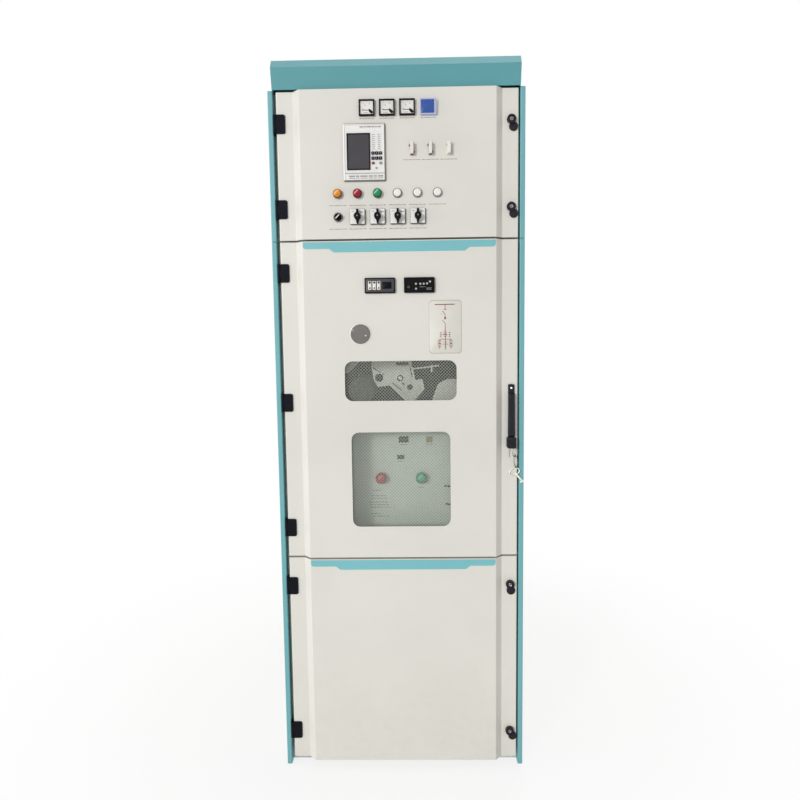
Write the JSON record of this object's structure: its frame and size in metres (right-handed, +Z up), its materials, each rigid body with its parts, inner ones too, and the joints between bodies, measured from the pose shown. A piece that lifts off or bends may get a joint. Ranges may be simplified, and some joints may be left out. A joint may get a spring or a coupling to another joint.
{
  "type": "metal-clad switchgear panel",
  "caption": "Free-standing metal-clad switchgear panel with instrument, breaker and cable doors, meshed windows onto a withdrawable breaker, and a teal trim frame.",
  "frame": {"origin": "centre of the base on the floor", "axes": "+Z up, +X to the right of the front, +Y from the doors to the rear covers"},
  "size_m": [0.8, 1.5533, 2.3],
  "materials": {
    "cream_paint": "fine powder coat",
    "teal_paint": "semi-gloss powder coat",
    "zinc_sheet": "zinc coated",
    "black_metal": "satin black",
    "black_plastic": "moulded",
    "white_plastic": "moulded",
    "blue_film": "film covered",
    "screen": "dark display",
    "bezel_metal": "plated",
    "amber_lens": "moulded lens",
    "red_lens": "moulded lens",
    "green_lens": "moulded lens",
    "white_lens": "moulded lens",
    "pane_glass": "clear",
    "grey_cover": "moulded",
    "breaker_paint": "powder coat",
    "mechanism_steel": "plated",
    "red_plastic": "moulded",
    "green_plastic": "moulded"
  },
  "bodies": {
    "cabinet": {"base_frame": "zinc_sheet", "floor_plate": "zinc_sheet", "left_side_wall": "cream_paint", "right_side_wall": "cream_paint", "rear_covers": "cream_paint", "roof_panel": "cream_paint", "relief_flaps": "cream_paint", "corner_posts": "teal_paint", "top_fascia": "teal_paint", "front_crossbars": "zinc_sheet", "compartment_shelves": "zinc_sheet", "compartment_backs": "zinc_sheet", "truck_rails": "zinc_sheet", "post_hinges": "black_metal"},
    "instrument_door": {"instrument_door": "cream_paint", "instrument_door_hinges": "black_metal", "instrument_door_locks": "black_plastic", "meter_cases": "black_plastic", "meter_dials": "white_plastic", "digital_meter": "blue_film", "relay_case": "white_plastic", "relay_screen": "screen", "trip_links": "white_plastic", "panel_bezels": "bezel_metal", "amber_lamp": "amber_lens", "red_lamp": "red_lens", "green_lamp": "green_lens", "white_lamp": "white_lens", "cam_switch_plates": "white_plastic"},
    "breaker_door": {"breaker_door": "cream_paint", "breaker_door_hinges": "black_metal", "breaker_door_strip": "teal_paint", "window_panes": "pane_glass", "window_clamps": "zinc_sheet", "door_controllers": "black_plastic", "trip_cover": "grey_cover", "handle_base": "black_plastic"},
    "cable_door": {"cable_door": "cream_paint", "cable_door_hinges": "black_metal", "cable_door_strip": "teal_paint", "cable_door_locks": "black_plastic"},
    "breaker_truck": {"truck_chassis": "zinc_sheet", "truck_wheels": "black_plastic", "breaker_housing": "zinc_sheet", "breaker_panel": "breaker_paint", "mechanism_plate": "mechanism_steel", "mechanism_hub": "mechanism_steel", "mechanism_bracket": "mechanism_steel", "breaker_indicators": "black_plastic"},
    "handle_lever": {"handle_lever": "black_plastic"},
    "selector": {"selector_knob": "black_plastic"},
    "trip_button": {"trip_button": "red_plastic"},
    "close_button": {"close_button": "green_plastic"},
    "cam_switch_1": {"cam_switch_knob_1": "black_plastic"},
    "cam_switch_2": {"cam_switch_knob_2": "black_plastic"},
    "cam_switch_3": {"cam_switch_knob_3": "black_plastic"},
    "cam_switch_4": {"cam_switch_knob_4": "black_plastic"}
  },
  "joints": [
    {"name": "instrument_door_swing", "type": "hinge", "parent": "cabinet", "child": "instrument_door", "pos_m": [-0.379, -0.751, 1.982], "axis": [0, 0, -1], "range_deg": [0, 110]},
    {"name": "breaker_door_swing", "type": "hinge", "parent": "cabinet", "child": "breaker_door", "pos_m": [-0.379, -0.751, 1.2405], "axis": [0, 0, -1], "range_deg": [0, 110]},
    {"name": "cable_door_swing", "type": "hinge", "parent": "cabinet", "child": "cable_door", "pos_m": [-0.379, -0.751, 0.3765], "axis": [0, 0, -1], "range_deg": [0, 110]},
    {"name": "handle_lift", "type": "hinge", "parent": "breaker_door", "child": "handle_lever", "pos_m": [0.358, -0.7635, 1.257], "axis": [-1, 0, 0], "range_deg": [0, 35]},
    {"name": "selector_turn", "type": "hinge", "parent": "instrument_door", "child": "selector", "pos_m": [-0.185, -0.785, 1.822], "axis": [0, -1, 0], "range_deg": [0, 90]},
    {"name": "cam_switch_1_turn", "type": "hinge", "parent": "instrument_door", "child": "cam_switch_1", "pos_m": [-0.1235, -0.79, 1.822], "axis": [0, 1, 0], "range_deg": [-45, 45]},
    {"name": "cam_switch_2_turn", "type": "hinge", "parent": "instrument_door", "child": "cam_switch_2", "pos_m": [-0.061, -0.79, 1.822], "axis": [0, 1, 0], "range_deg": [-45, 45]},
    {"name": "cam_switch_3_turn", "type": "hinge", "parent": "instrument_door", "child": "cam_switch_3", "pos_m": [0.0015, -0.79, 1.822], "axis": [0, 1, 0], "range_deg": [-45, 45]},
    {"name": "cam_switch_4_turn", "type": "hinge", "parent": "instrument_door", "child": "cam_switch_4", "pos_m": [0.064, -0.79, 1.822], "axis": [0, 1, 0], "range_deg": [-45, 45]},
    {"name": "truck_racking", "type": "slide", "parent": "cabinet", "child": "breaker_truck", "axis": [0, 1, 0], "range_m": [0, 0.2]},
    {"name": "trip_button_press", "type": "slide", "parent": "breaker_truck", "child": "trip_button", "axis": [0, 1, 0], "range_m": [0, 0.004], "stiffness_N_per_m": 600},
    {"name": "close_button_press", "type": "slide", "parent": "breaker_truck", "child": "close_button", "axis": [0, 1, 0], "range_m": [0, 0.004], "stiffness_N_per_m": 600}
  ]
}
